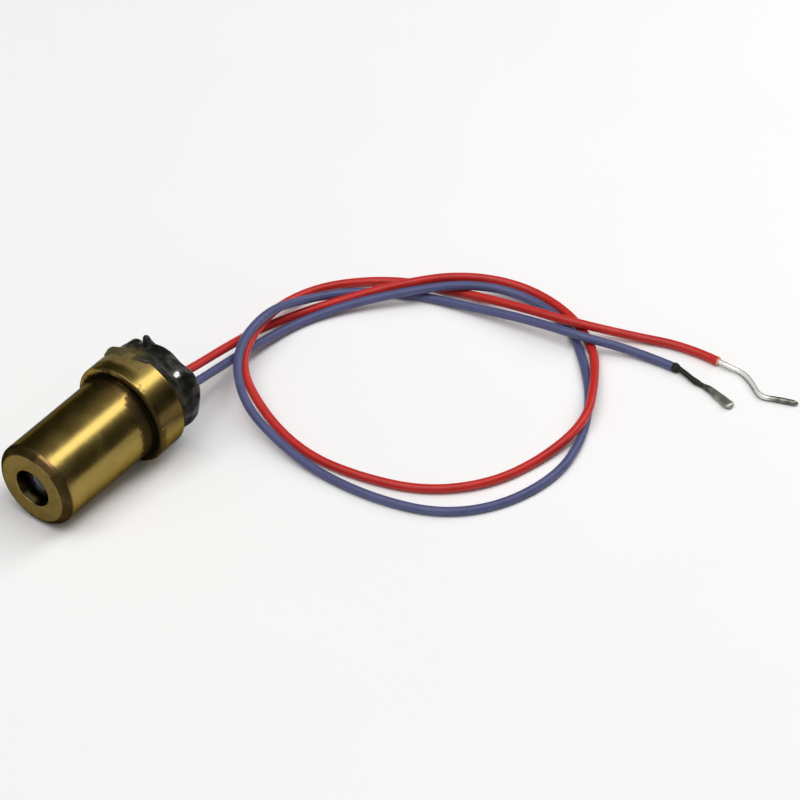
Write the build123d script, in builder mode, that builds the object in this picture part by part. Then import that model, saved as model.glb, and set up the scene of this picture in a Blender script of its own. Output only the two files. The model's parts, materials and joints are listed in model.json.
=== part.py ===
"""Laser diode module: a turned brass housing with a rear collar, a collimating lens behind its aperture,
a can-type laser diode and a round driver board sealed in black epoxy, and a red and a blue lead with
bare ends.

The module lies on its side as it comes to rest, on the front edges of its barrel and of its collar, so
the beam points a little downwards. The beam runs along -Y, +Z is up, and the origin lies on the surface
below the middle of the module. Lengths are in millimetres. Heights along the beam count from the
collar's rear face forwards, and a place across the beam is given as (sideways, up).
"""

import os
from math import atan2, cos, degrees, radians, sin, tan

from build123d import *

# Housing
barrel_diameter = 6.0
barrel_length = 8.5
barrel_wall = 0.7
collar_step = 0.6
collar_length = 2.35
nose_chamfer = 0.4
collar_chamfer = 0.15
aperture_diameter = 2.7
front_wall = 1.0

# Lens, and the sleeve that holds it at its focal distance
lens_thickness = 1.9
lens_dome_rise = 0.45
lens_dome_clearance = 0.1
bore_clearance = 0.03
spacer_wall = 0.7

# Laser diode
stem_diameter = 5.6
stem_thickness = 1.2
stem_depth = 2.05
stem_rim = 0.6
stem_notch = 0.4
cap_wall = 0.15
cap_flange_width = 0.425
cap_flange_thickness = 0.25
window_opening = 1.6
window_lap = 0.4
window_thickness = 0.25
window_gap = 0.63
emission_height = 1.27
chip_thickness = 0.1
chip_width = 0.25
chip_length = 0.3
submount_thickness = 0.2
submount_width = 0.8
submount_length = 0.7
post_thickness = 0.9
post_width = 1.2
photodiode_size = 0.6
photodiode_thickness = 0.3
photodiode_gap = 0.25
pin_diameter = 0.45
pin_circle_diameter = 2.0
pin_head = 0.6
pin_tail = 0.45
seal_diameter = 0.95

# Driver board and what is soldered on its rear
board_clearance = 0.1
board_thickness = 0.6
board_standoff = 0.4
board_part_gap = 0.3
solder_skirt = 0.18
pin_joint_height = 0.35
wire_joint_height = 0.4
chip_part_length = 1.0
chip_part_width = 0.5
chip_part_height = 0.35
end_cap_length = 0.25
transistor_length = 1.2
transistor_width = 0.8
transistor_height = 0.5
leg_pitch = 0.8
leg_width = 0.25
leg_length = 0.2
leg_thickness = 0.12

# Epoxy potting behind the collar, with lumps given as (angle round the beam, height, radius)
potting_inset = 0.2
potting_length = 1.85
potting_round = 0.4
lump_depth = 0.35
lumps = [
    (-150, -0.65, 0.5), (128, -0.15, 0.55), (158, -0.75, 0.45),
    (62, -0.85, 0.5), (12, -0.95, 0.5), (-28, -0.45, 0.45),
]
stub_angle = 102
stub_inset = 0.45
stub_diameter = 0.5
stub_reach = 0.7

# Leads
lead_diameter = 0.6
red_lead_offset = 0.5
lead_pair_angle = -16.7
lead_joint_gap = 0.084
red_straight = 1.9
blue_straight = 1.7
bend_share = 0.45
red_conductor_diameter = 0.34
blue_conductor_diameter = 0.4
bare_straight = 0.9
blue_tip_neck = 0.9
blue_tip_length = 1.4
blue_tip_width = 0.72
blue_tip_thickness = 0.3

# Routes of the leads past their straight starts: down to the surface, round a loop and off to the right
red_route_points = [
    (0.2, 9.8, 3.2), (-0.3, 12.9, 2.3), (-0.9, 16.5, 1.1), (-0.7, 20.1, 0.3), (1.0, 23.4, 0.5),
    (3.3, 26.5, 1.1), (5.7, 29.9, 1.0), (8.9, 32.4, 0.3), (13.2, 32.2, 0.3), (16.9, 30.3, 0.3),
    (19.6, 26.9, 0.9), (21.8, 23.2, 1.05), (21.4, 19.1, 0.3), (20.1, 15.0, 0.4), (17.4, 11.8, 0.3),
    (13.4, 10.2, 0.3), (9.3, 9.9, 0.35), (5.3, 10.9, 0.9), (1.3, 12.7, 1.8), (-0.4, 16.2, 2.0),
    (-1.5, 20.4, 1.0), (-0.8, 24.5, 0.3), (2.4, 27.6, 0.3), (6.2, 29.1, 0.3), (10.6, 29.8, 0.9),
    (14.7, 30.5, 1.2), (18.2, 32.7, 0.4), (21.6, 34.2, 0.3), (24.1, 34.3, 0.3),
]
blue_route_points = [
    (1.1, 9.3, 2.9), (0.4, 12.5, 1.8), (-0.1, 16.2, 0.8), (0.1, 19.9, 0.3), (1.7, 23.2, 0.6),
    (4.2, 26.2, 1.1), (6.7, 29.3, 1.15), (9.7, 31.6, 0.4), (14.0, 31.2, 0.3), (17.3, 28.7, 0.3),
    (20.2, 25.7, 0.3), (22.3, 22.0, 0.3), (23.2, 18.2, 0.35), (22.1, 13.9, 0.3), (19.6, 10.7, 0.3),
    (15.7, 9.2, 0.3), (11.4, 8.8, 0.3), (7.5, 9.1, 0.7), (3.5, 10.3, 1.7), (0.4, 13.0, 2.5),
    (-0.4, 17.1, 2.7), (-0.5, 21.1, 1.2), (0.9, 24.9, 0.3), (4.5, 27.2, 0.3), (8.4, 28.3, 0.5),
    (12.3, 29.1, 1.0), (16.3, 29.7, 1.25), (19.4, 31.7, 0.3), (22.3, 31.98, 0.3),
]
red_bare_points = [
    (26.1, 34.5, 0.2), (27.2, 34.0, 0.2), (28.4, 33.2, 0.2), (29.5, 33.75, 0.2), (30.8, 34.25, 0.2),
]
blue_bare_points = [(24.1, 31.75, 0.22), (25.4, 31.75, 0.2)]
blue_tip_direction = (2.2, -0.55, 0)

# Sizes that follow from those above, each from the piece that it fits round or in
barrel_radius = barrel_diameter / 2
collar_radius = barrel_radius + collar_step
potting_radius = collar_radius - potting_inset
stem_radius = stem_diameter / 2
cap_flange_radius = stem_radius - stem_rim
cap_radius = cap_flange_radius - cap_flange_width
cap_height = emission_height + window_gap + window_thickness + cap_wall
bore_radius = barrel_radius - barrel_wall
lens_radius = bore_radius - bore_clearance
spacer_bore_radius = lens_radius - spacer_wall
dome_radius = aperture_diameter / 2 - lens_dome_clearance
board_radius = stem_radius - board_clearance

# How the module lies: the tilt brings the barrel's and the collar's front edges to one surface
housing_length = barrel_length + collar_length
tilt = atan2(collar_radius - barrel_radius, barrel_length + collar_chamfer - nose_chamfer)
front_lean = sin(tilt) * (barrel_radius - nose_chamfer)
rear_reach = cos(tilt) * (housing_length + potting_length - potting_round)
rear_reach += sin(tilt) * (potting_radius - potting_round) + potting_round
rest_height = cos(tilt) * barrel_radius - sin(tilt) * nose_chamfer
front_centre = Vector(0, (front_lean - rear_reach) / 2, rest_height)
rearwards = Vector(0, cos(tilt), sin(tilt))
rear_centre = front_centre + rearwards * housing_length
beam_plane = Plane(origin=rear_centre, x_dir=(1, 0, 0), z_dir=-rearwards)
beam_axis = Axis(origin=rear_centre, direction=-rearwards)
section_plane = Plane(origin=rear_centre, x_dir=(1, 0, 0), z_dir=(0, sin(tilt), -cos(tilt)))

# Heights along the beam
lens_seat = housing_length - front_wall
lens_rear = lens_seat - lens_thickness
stem_front = stem_depth
stem_rear = stem_front - stem_thickness
cap_flange_front = stem_front + cap_flange_thickness
cap_front = stem_front + cap_height
facet_height = stem_front + emission_height
board_front = stem_rear - board_standoff
board_rear = board_front - board_thickness
pin_end = board_rear - pin_tail
lead_start = board_rear - wire_joint_height

# Pins: two run through glass seals, and the third stands on the stem itself
pin_circle_radius = pin_circle_diameter / 2
sealed_pin_places = [(0, pin_circle_radius), (0, -pin_circle_radius)]
common_pin_place = (-pin_circle_radius, 0)
pin_places = [*sealed_pin_places, common_pin_place]

# Places on the board's rear: the leads' joints near the middle, and the parts clear of all joints
pin_joint_radius = pin_diameter / 2 + solder_skirt
wire_joint_radius = lead_diameter / 2 + solder_skirt
lead_pitch = 2 * wire_joint_radius + lead_joint_gap
lead_drop = lead_pitch * sin(radians(lead_pair_angle))
red_lead_place = (red_lead_offset, 0)
blue_lead_place = (red_lead_offset + lead_pitch * cos(radians(lead_pair_angle)), lead_drop)
chip_part_column = pin_joint_radius + board_part_gap + chip_part_length / 2
upper_row = wire_joint_radius + board_part_gap + chip_part_width / 2
chip_part_places = {
    "series_resistor": (chip_part_column, upper_row),
    "filter_capacitor": (-chip_part_column, upper_row),
    "sense_resistor": (chip_part_column, lead_drop - upper_row),
}
transistor_column = pin_joint_radius + board_part_gap + transistor_length / 2
transistor_drop = pin_joint_radius + board_part_gap + leg_length + transistor_width / 2
transistor_place = (-transistor_column, -transistor_drop)


def station(height):
    """Plane across the beam at a height in front of the collar's rear face."""
    return beam_plane.offset(height)


def at_station(place, height):
    """Point at a place across the beam, at a height."""
    return beam_plane.from_local_coords(Vector(*place, height))


def bend_radii(points):
    """Radius of the arc at each corner of a route, as large as its two runs allow."""
    corners = [Vector(*point) for point in points]
    radii = []
    for before, here, after in zip(corners, corners[1:], corners[2:]):
        run_in = here - before
        run_out = after - here
        half_turn = radians(run_in.get_angle(run_out)) / 2
        radii.append(bend_share * min(run_in.length, run_out.length) / tan(half_turn))
    return radii


def lead_points(place, straight, route_points):
    """Whole route of a lead: straight back from its solder joint, then along its own points."""
    start = at_station(place, lead_start)
    straight_end = at_station(place, lead_start - straight)
    return [start, straight_end, *map(Vector, route_points)]


def bare_points(route_points, points):
    """Route of a bare end: straight on from its lead's last run, then along its own points."""
    end = Vector(route_points[-1])
    last_run = end - Vector(route_points[-2])
    return [end, end + last_run.normalized() * bare_straight, *map(Vector, points)]


# Housing, one turned piece with the aperture, the bore and the counterbore that holds the diode's stem
with BuildPart() as housing:
    with BuildSketch(section_plane):
        with BuildLine():
            Polyline(
                (stem_radius, 0),
                (collar_radius - collar_chamfer, 0),
                (collar_radius, collar_chamfer),
                (collar_radius, collar_length - collar_chamfer),
                (collar_radius - collar_chamfer, collar_length),
                (barrel_radius, collar_length),
                (barrel_radius, housing_length - nose_chamfer),
                (barrel_radius - nose_chamfer, housing_length),
                (aperture_diameter / 2, housing_length),
                (aperture_diameter / 2, lens_seat),
                (bore_radius, lens_seat),
                (bore_radius, cap_flange_front),
                (stem_radius, cap_flange_front),
                close=True,
            )
        make_face()
    revolve(axis=beam_axis)

# Collimating lens: a flat rear, a rim seated on the front wall and a dome in the aperture
dome_curvature = (dome_radius**2 + lens_dome_rise**2) / (2 * lens_dome_rise)
dome_centre = lens_seat + lens_dome_rise - dome_curvature
dome_edge_angle = degrees(atan2(dome_curvature - lens_dome_rise, dome_radius))
with BuildPart() as collimating_lens:
    with BuildSketch(section_plane):
        with BuildLine():
            Polyline(
                (dome_radius, lens_seat),
                (lens_radius, lens_seat),
                (lens_radius, lens_rear),
                (0, lens_rear),
                (0, lens_seat + lens_dome_rise),
            )
            CenterArc((0, dome_centre), dome_curvature, dome_edge_angle, 90 - dome_edge_angle)
        make_face()
    revolve(axis=beam_axis)

# Sleeve between the lens and the front rim of the diode's cap
with BuildPart() as lens_spacer:
    with BuildSketch(station(cap_front)):
        Circle(lens_radius)
        Circle(spacer_bore_radius, mode=Mode.SUBTRACT)
    extrude(amount=lens_rear - cap_front)

# Diode stem with its notched rim, the holes of its seals and the post that carries the chip
post_face = -chip_thickness / 2 - submount_thickness
with BuildPart() as diode_stem:
    with BuildSketch(station(stem_rear)):
        Circle(stem_radius)
        with PolarLocations(stem_radius, 2):
            Rectangle(stem_notch, stem_notch, rotation=45, mode=Mode.SUBTRACT)
        with Locations((0, -stem_radius)):
            Rectangle(stem_notch, stem_notch, mode=Mode.SUBTRACT)
        with Locations(*sealed_pin_places):
            Circle(seal_diameter / 2, mode=Mode.SUBTRACT)
    extrude(amount=stem_thickness)
    with BuildSketch(station(stem_front)):
        with Locations((post_face - post_thickness / 2, 0)):
            Rectangle(post_thickness, post_width)
    extrude(amount=emission_height)

# Submount on the post's face, with the chip on it, both flush with the post's end
with BuildPart() as submount:
    with BuildSketch(station(facet_height)):
        with Locations((post_face + submount_thickness / 2, 0)):
            Rectangle(submount_thickness, submount_width)
    extrude(amount=-submount_length)

with BuildPart() as laser_chip:
    with BuildSketch(station(facet_height)):
        Rectangle(chip_thickness, chip_width)
    extrude(amount=-chip_length)

# Photodiode behind the chip, on the stem
with BuildPart() as monitor_photodiode:
    with BuildSketch(station(stem_front)):
        with Locations((chip_thickness / 2 + photodiode_gap + photodiode_size / 2, 0)):
            Rectangle(photodiode_size, photodiode_size)
    extrude(amount=photodiode_thickness)

# Cap welded to the stem, with a window under its opening
with BuildPart() as diode_cap:
    with BuildSketch(section_plane):
        with BuildLine():
            Polyline(
                (cap_radius - cap_wall, stem_front),
                (cap_flange_radius, stem_front),
                (cap_flange_radius, cap_flange_front),
                (cap_radius, cap_flange_front),
                (cap_radius, cap_front),
                (window_opening / 2, cap_front),
                (window_opening / 2, cap_front - cap_wall),
                (cap_radius - cap_wall, cap_front - cap_wall),
                close=True,
            )
        make_face()
    revolve(axis=beam_axis)

with BuildPart() as diode_window:
    with BuildSketch(station(cap_front - cap_wall)):
        Circle(window_opening / 2 + window_lap)
    extrude(amount=-window_thickness)

# Pins, and the glass round the two that are insulated
with BuildPart() as diode_pins:
    with BuildSketch(station(pin_end)):
        with Locations(*sealed_pin_places):
            Circle(pin_diameter / 2)
    extrude(amount=stem_front + pin_head - pin_end)
    with BuildSketch(station(pin_end)):
        with Locations(common_pin_place):
            Circle(pin_diameter / 2)
    extrude(amount=stem_rear - pin_end)

with BuildPart() as pin_seals:
    with BuildSketch(station(stem_rear)):
        with Locations(*sealed_pin_places):
            Circle(seal_diameter / 2)
            Circle(pin_diameter / 2, mode=Mode.SUBTRACT)
    extrude(amount=stem_thickness)

# Driver board on the pins
with BuildPart() as driver_board:
    with BuildSketch(station(board_front)):
        Circle(board_radius)
        with Locations(*pin_places):
            Circle(pin_diameter / 2, mode=Mode.SUBTRACT)
    extrude(amount=-board_thickness)

# Chip resistors and the capacitor: a ceramic body each, and the metal caps on their ends
chip_parts = {}
for name, place in chip_part_places.items():
    with BuildPart() as chip_part:
        with BuildSketch(station(board_rear)):
            with Locations(place):
                Rectangle(chip_part_length - 2 * end_cap_length, chip_part_width)
        extrude(amount=-chip_part_height)
    chip_parts[name] = chip_part

with BuildPart() as chip_end_caps:
    with BuildSketch(station(board_rear)):
        with Locations(*chip_part_places.values()):
            with GridLocations(chip_part_length - end_cap_length, 0, 2, 1):
                Rectangle(end_cap_length, chip_part_width)
    extrude(amount=-chip_part_height)

# Transistor: a moulded body with two legs on one side and one on the other
with BuildPart() as driver_transistor:
    with BuildSketch(station(board_rear)):
        with Locations(transistor_place):
            Rectangle(transistor_length, transistor_width)
    extrude(amount=-transistor_height)

leg_offset = (transistor_width + leg_length) / 2
with BuildPart() as transistor_legs:
    with BuildSketch(station(board_rear)):
        with Locations(transistor_place):
            with Locations((-leg_pitch / 2, leg_offset), (leg_pitch / 2, leg_offset), (0, -leg_offset)):
                Rectangle(leg_width, leg_length)
    extrude(amount=-leg_thickness)

# Solder: a cone round each pin, and one under each lead
with BuildPart() as pin_joints:
    with Locations(station(board_rear)):
        with Locations(*pin_places):
            Cone(
                pin_joint_radius,
                pin_diameter / 2,
                pin_joint_height,
                rotation=(180, 0, 0),
                align=(Align.CENTER, Align.CENTER, Align.MIN),
            )
    add(diode_pins.part, mode=Mode.SUBTRACT)

with BuildPart() as wire_joints:
    with Locations(station(board_rear)):
        with Locations(red_lead_place, blue_lead_place):
            Cone(
                wire_joint_radius,
                lead_diameter / 2,
                wire_joint_height,
                rotation=(180, 0, 0),
                align=(Align.CENTER, Align.CENTER, Align.MIN),
            )

# Leads: a plain rod along each route
red_points = lead_points(red_lead_place, red_straight, red_route_points)
with BuildPart() as red_lead:
    with BuildLine() as red_route:
        FilletPolyline(*red_points, radius=bend_radii(red_points))
    with BuildSketch(Plane(origin=red_route.line @ 0, z_dir=red_route.line % 0)):
        Circle(lead_diameter / 2)
    sweep()

blue_points = lead_points(blue_lead_place, blue_straight, blue_route_points)
with BuildPart() as blue_lead:
    with BuildLine() as blue_route:
        FilletPolyline(*blue_points, radius=bend_radii(blue_points))
    with BuildSketch(Plane(origin=blue_route.line @ 0, z_dir=blue_route.line % 0)):
        Circle(lead_diameter / 2)
    sweep()

# Bare ends: the red one keeps its S-bend, and the blue one widens to a flattened tip
red_end_points = bare_points(red_route_points, red_bare_points)
with BuildPart() as red_bare_end:
    with BuildLine() as red_end_route:
        FilletPolyline(*red_end_points, radius=bend_radii(red_end_points))
    with BuildSketch(Plane(origin=red_end_route.line @ 0, z_dir=red_end_route.line % 0)):
        Circle(red_conductor_diameter / 2)
    sweep()

blue_end_points = bare_points(blue_route_points, blue_bare_points)
tip_direction = Vector(blue_tip_direction).normalized()
tip_turn = blue_end_points[-1]
blue_end_points.append(tip_turn + tip_direction * blue_tip_neck)
tip_sideways = (tip_direction.Y, -tip_direction.X, 0)
tip_root = Plane(origin=blue_end_points[-1], x_dir=tip_sideways, z_dir=tip_direction)
with BuildPart() as blue_bare_end:
    with BuildLine() as blue_end_route:
        FilletPolyline(*blue_end_points, radius=bend_radii(blue_end_points))
    with BuildSketch(Plane(origin=blue_end_route.line @ 0, z_dir=blue_end_route.line % 0)):
        Circle(blue_conductor_diameter / 2)
    sweep()
    with BuildSketch(tip_root):
        Circle(blue_conductor_diameter / 2)
    with BuildSketch(tip_root.offset(blue_tip_length)):
        Ellipse(blue_tip_width / 2, blue_tip_thickness / 2)
    loft()

# Potting: fills the collar behind the stem, closes round the board and leads, and stands out in lumps
neighbours = [
    housing,
    diode_pins,
    driver_board,
    *chip_parts.values(),
    chip_end_caps,
    driver_transistor,
    transistor_legs,
    pin_joints,
    wire_joints,
    red_lead,
    blue_lead,
]
with BuildPart() as potting:
    with BuildSketch(section_plane):
        with BuildLine():
            Polyline(
                (0, stem_rear),
                (stem_radius, stem_rear),
                (stem_radius, 0),
                (potting_radius, 0),
                (potting_radius, -potting_length),
                (0, -potting_length),
                close=True,
            )
        make_face()
    revolve(axis=beam_axis)
    fillet(potting.faces().sort_by(beam_axis)[0].edges(), radius=potting_round)
    with Locations(beam_plane):
        for angle, height, radius in lumps:
            with PolarLocations(potting_radius - lump_depth, 1, start_angle=angle):
                with Locations((0, 0, height)):
                    Sphere(radius)
        with PolarLocations(potting_radius - lump_depth, 1, start_angle=stub_angle):
            with Locations(Location((0, 0, stub_inset - potting_length), (0, 90, 0))):
                Cylinder(
                    stub_diameter / 2,
                    lump_depth + stub_reach,
                    align=(Align.CENTER, Align.CENTER, Align.MIN),
                )
    for piece in neighbours:
        add(piece.part, mode=Mode.SUBTRACT)

pieces = {
    "housing": housing,
    "collimating_lens": collimating_lens,
    "lens_spacer": lens_spacer,
    "diode_stem": diode_stem,
    "diode_cap": diode_cap,
    "diode_window": diode_window,
    "submount": submount,
    "laser_chip": laser_chip,
    "monitor_photodiode": monitor_photodiode,
    "diode_pins": diode_pins,
    "pin_seals": pin_seals,
    "driver_board": driver_board,
    **chip_parts,
    "chip_end_caps": chip_end_caps,
    "driver_transistor": driver_transistor,
    "transistor_legs": transistor_legs,
    "pin_joints": pin_joints,
    "wire_joints": wire_joints,
    "potting": potting,
    "red_lead": red_lead,
    "blue_lead": blue_lead,
    "red_bare_end": red_bare_end,
    "blue_bare_end": blue_bare_end,
}
os.makedirs("parts", exist_ok=True)
for name, piece in pieces.items():
    piece.part.label = name
    export_step(piece.part, f"parts/{name}.step")

# Each lead's bends, and its rod's volume against its section times its length
section_area = Circle(lead_diameter / 2).area
for name, points, route, lead in [
    ("red lead", red_points, red_route, red_lead),
    ("blue lead", blue_points, blue_route, blue_lead),
]:
    radii = [round(radius, 1) for radius in bend_radii(points)]
    length = route.wire().length
    print(f"{name}: length {length:.1f}, radii {radii}")
    print(f"{name}: volume {lead.part.volume:.3f}, section times length {section_area * length:.3f}")
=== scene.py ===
"""Looks of a small brass laser diode module: a turned housing with its lens, lumpy black epoxy at the rear,
and a red and a blue lead with bare ends. Sizes are in millimetres; meshes are in metres in the part's frame.
"""
import json
from math import cos, radians, sin

import bpy
import numpy as np
from mathutils import Matrix, Vector


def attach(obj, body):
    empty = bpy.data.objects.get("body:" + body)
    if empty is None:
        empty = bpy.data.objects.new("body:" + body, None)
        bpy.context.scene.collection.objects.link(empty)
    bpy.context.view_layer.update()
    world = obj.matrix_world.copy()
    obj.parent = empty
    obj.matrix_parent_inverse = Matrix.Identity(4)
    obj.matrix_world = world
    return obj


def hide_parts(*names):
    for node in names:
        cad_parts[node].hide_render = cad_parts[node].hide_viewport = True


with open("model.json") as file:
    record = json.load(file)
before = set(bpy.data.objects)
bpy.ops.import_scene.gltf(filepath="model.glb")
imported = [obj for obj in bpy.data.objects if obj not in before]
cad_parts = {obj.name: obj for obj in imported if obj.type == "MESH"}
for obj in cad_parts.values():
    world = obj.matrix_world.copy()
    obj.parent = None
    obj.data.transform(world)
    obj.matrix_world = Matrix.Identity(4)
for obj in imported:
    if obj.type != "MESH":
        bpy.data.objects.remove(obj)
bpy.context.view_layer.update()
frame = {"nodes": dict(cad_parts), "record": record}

MM = 0.001
TURN = 2 * np.pi

# Frame of the module, from the part's own mounts: heights count from the collar's rear face along the beam
mounts = {mount["name"]: mount for mount in frame["record"]["mounts"]}
beam = np.array(mounts["collar"]["axis"])
sideways = np.array([1.0, 0.0, 0.0])
upwards = np.cross(beam, sideways)
collar_middle = np.array(mounts["collar"]["pos_m"]) / MM
shoulder = np.array(mounts["collar_shoulder"]["pos_m"]) / MM
front = np.array(mounts["front_face"]["pos_m"]) / MM
rear_centre = collar_middle - beam * np.dot(shoulder - collar_middle, beam)
tilt = np.arctan2(-beam[2], -beam[1])

# Housing
barrel_radius = mounts["barrel"]["dims"]["r_mm"]
collar_radius = mounts["collar"]["dims"]["r_mm"]
collar_length = np.dot(shoulder - rear_centre, beam)
housing_length = np.dot(front - rear_centre, beam)
nose_chamfer = 0.4
collar_chamfer = 0.15
aperture_radius = 1.35
front_wall = 1.0
bore_radius = 2.3
stem_bore_radius = 2.8
stem_bore_depth = 2.3
stem_rear = 0.85

# Lens
lens_radius = 2.27
lens_thickness = 1.9
lens_edge = 0.04
lens_dome_radius = 1.25
lens_dome_rise = 0.45
lens_dome_gap = 0.03

# Epoxy: a skin over the potted rear
potting_radius = 3.4
potting_length = 1.85
potting_rear = -potting_length
potting_round = 0.4
wall_top = -0.14
groove_height = -0.4
groove_depth = 0.04
groove_spread = 0.35
lead_rise = 0.2
lead_rise_spread = 0.45
wet_spot_angle = 47
wet_spot_height = -0.85
# Each bulge or dent of the skin: angle round the beam, height, rise and spread
bulges = [
    (134, -0.15, 0.25, 0.5), (122, -1.1, 0.06, 0.4), (158, -0.75, 0.12, 0.45), (-150, -0.65, 0.16, 0.5),
    (20, -1.55, 0.3, 0.6), (36, -1.72, 0.3, 0.68), (42, -0.7, 0.1, 0.35),
    (112, -1.75, -0.2, 0.5), (-36, -0.95, -0.16, 0.9), (-8, -1.85, -0.08, 0.7),
]

# Film of epoxy that has crept over the collar's rim, most of all round one angle
film_angle = 108
film_thickness = 0.08
film_sunk = 0.02
film_fillet = 0.06
film_edge_share = 0.1
film_run = 0.1
film_least_run = 0.04
film_creep = 0.3
film_shortfall = 0.26
film_least_fray = 0.35

# Stub of epoxy, from its foot in the skin to its tip
stub_angle = 100
stub_foot_turn = 8
stub_foot_reach = 2.85
stub_length = 1.1
stub_foot_height = -1.15
stub_lean = 0.26
stub_foot_half = 0.52
stub_taper = 0.28

# Leads, given from their solder joints on: places across the beam, and heights of their straight starts
lead_radius = 0.3
lead_unevenness = 0.03
lead_uneven_step = 2.4
lead_joint_height = -0.55
red_lead_place = (0.5, 0.0)
blue_lead_place = (1.5, -0.3)
red_straight_height = -2.45
blue_straight_height = -2.25
# The part's routes, with nine points moved by up to half a millimetre to follow the photograph
red_route_points = [
    (0.2, 9.8, 3.2), (-0.3, 12.9, 2.3), (-0.9, 16.5, 1.1), (-0.7, 20.1, 0.3), (1.0, 23.4, 0.5),
    (3.3, 26.5, 1.1), (5.7, 29.9, 1.0), (8.9, 32.4, 0.3), (13.2, 32.2, 0.3), (16.9, 30.3, 0.3),
    (19.6, 26.9, 0.9), (21.8, 23.2, 1.05), (21.4, 19.1, 0.3), (20.35, 14.9, 0.4), (17.5, 11.75, 0.3),
    (13.4, 10.2, 0.3), (9.33, 9.71, 0.3), (5.2, 10.48, 0.83), (1.26, 12.37, 1.91), (-0.4, 16.2, 2.0),
    (-1.5, 20.4, 1.0), (-0.8, 24.5, 0.3), (2.4, 27.6, 0.3), (6.2, 29.1, 0.3), (10.6, 29.8, 0.9),
    (14.7, 30.5, 1.2), (18.2, 32.7, 0.4), (21.6, 34.2, 0.3), (24.1, 34.3, 0.3),
]
blue_route_points = [
    (1.1, 9.3, 2.9), (0.4, 12.5, 1.8), (-0.1, 16.2, 0.8), (0.1, 19.9, 0.3), (1.7, 23.2, 0.6),
    (4.2, 26.2, 1.1), (6.7, 29.3, 1.15), (9.7, 31.6, 0.4), (14.0, 31.2, 0.3), (17.3, 28.7, 0.3),
    (20.2, 25.7, 0.3), (22.3, 22.0, 0.3), (23.2, 18.2, 0.35), (22.25, 13.8, 0.3), (19.7, 10.65, 0.3),
    (15.7, 9.2, 0.3), (11.4, 8.8, 0.3), (7.5, 9.1, 0.7), (3.5, 10.01, 1.6), (0.48, 12.93, 2.52),
    (-0.4, 17.1, 2.7), (-0.5, 21.1, 1.2), (0.9, 24.9, 0.3), (4.5, 27.2, 0.3), (8.4, 28.3, 0.5),
    (12.3, 29.1, 1.0), (16.3, 29.7, 1.25), (19.4, 31.7, 0.3), (22.3, 31.98, 0.3),
]

# Bare ends, which start inside the insulation and run straight on out of it
bare_root = 0.6
bare_resolution = 24
red_bare_straight = 0.9
red_bare_points = [
    (26.1, 34.5, 0.2), (27.2, 34.0, 0.2), (28.4, 33.2, 0.2), (29.5, 33.75, 0.2), (30.8, 34.25, 0.2),
]
red_conductor_radius = 0.17
red_tip_swell = 0.12
strand_count = 7
strand_depth = 0.02
strand_twist = 16
# Fixed direction of the painted sheen on the red wire; across it lie its painted dark flanks
painted_sheen_side = (0.489, -0.594, 0.639)
blue_bare_straight = 0.6
blue_bare_points = [(24.1, 31.75, 0.22), (25.4, 31.75, 0.2), (26.27, 31.53, 0.2), (27.63, 31.19, 0.2)]
blue_conductor_radius = 0.2
blue_tip_half_width = 0.36
blue_tip_half_thickness = 0.15
blue_tip_squareness = 0.55
# Corners of the red insulation's cut lip: radius, place past the insulation's end and rounding
red_lip_corners = [
    (0.1, -0.7, 0.02), (0.285, -0.7, 0.02), (0.32, -0.2, 0.07), (0.33, 0.1, 0.1), (0.1, 0.14, 0.02),
]
# Scorched sleeve at the end of the blue insulation
scorch_reach = (-0.16, 0.55)
scorch_radius = 0.27
scorch_swell = 0.06
scorch_taper = 0.15

# Unevenness of the surfaces: size, wavelength and seed of each ripple
unevenness = {
    "film_edge": [(0.1, 2.6, 3), (0.07, 0.9, 4)],
    "film": [(0.45, 1.4, 5)],
    "skin": [(0.035, 2.1, 11), (0.012, 1.0, 12), (0.002, 0.45, 13)],
    "stub": [(0.035, 0.8, 21)],
    "red_lip": [(0.03, 0.6, 31)],
    "red_wire": [(0.04, 1.3, 32)],
    "scorch": [(0.03, 0.5, 41)],
    "blue_neck": [(0.07, 0.9, 42)],
    "blue_wire": [(0.02, 0.7, 43)],
}

# Camera, at the photograph's angle
camera_azimuth = 39.4297
camera_elevation = 39.7038
camera_lens = 265.5
camera_distance = 375.99
camera_aim = (15.80, 11.36, 7.29)


# Shapes

def module_point(across, up, height):
    """Point or array of points: the collar's rear centre plus so far sideways, upwards and along the beam."""
    parts = [np.asarray(part, dtype=float)[..., None] for part in (across, up, height)]
    return rear_centre + parts[0] * sideways + parts[1] * upwards + parts[2] * beam


def unit(vectors):
    """Vectors divided by their lengths."""
    return vectors / np.linalg.norm(vectors, axis=-1, keepdims=True)


def smooth_step(values, low, high):
    """0 below low, 1 above high, and 3t^2 - 2t^3 between them."""
    share = np.clip((values - low) / (high - low), 0, 1)
    return share * share * (3 - 2 * share)


def round_tip(share, start, most):
    """1 up to a start, then the root of 1 - t^2 as t goes from 0 at the start towards 1 at the end."""
    return np.sqrt(1 - np.clip((share - start) / (1 - start), 0, most) ** 2)


def ripple(points, wavelength, seed, waves=24):
    """Smooth seeded noise of about unit size: a sum of sine waves of one wavelength in random directions."""
    draw = np.random.default_rng(seed)
    directions = unit(draw.normal(size=(waves, 3)))
    phases = draw.uniform(0, TURN, waves)
    return np.sin(points @ directions.T * TURN / wavelength + phases).sum(axis=-1) * (2 / waves) ** 0.5


def uneven(points, surface):
    """Sum of a surface's ripples."""
    return sum(size * ripple(points, wavelength, seed) for size, wavelength, seed in unevenness[surface])


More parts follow.
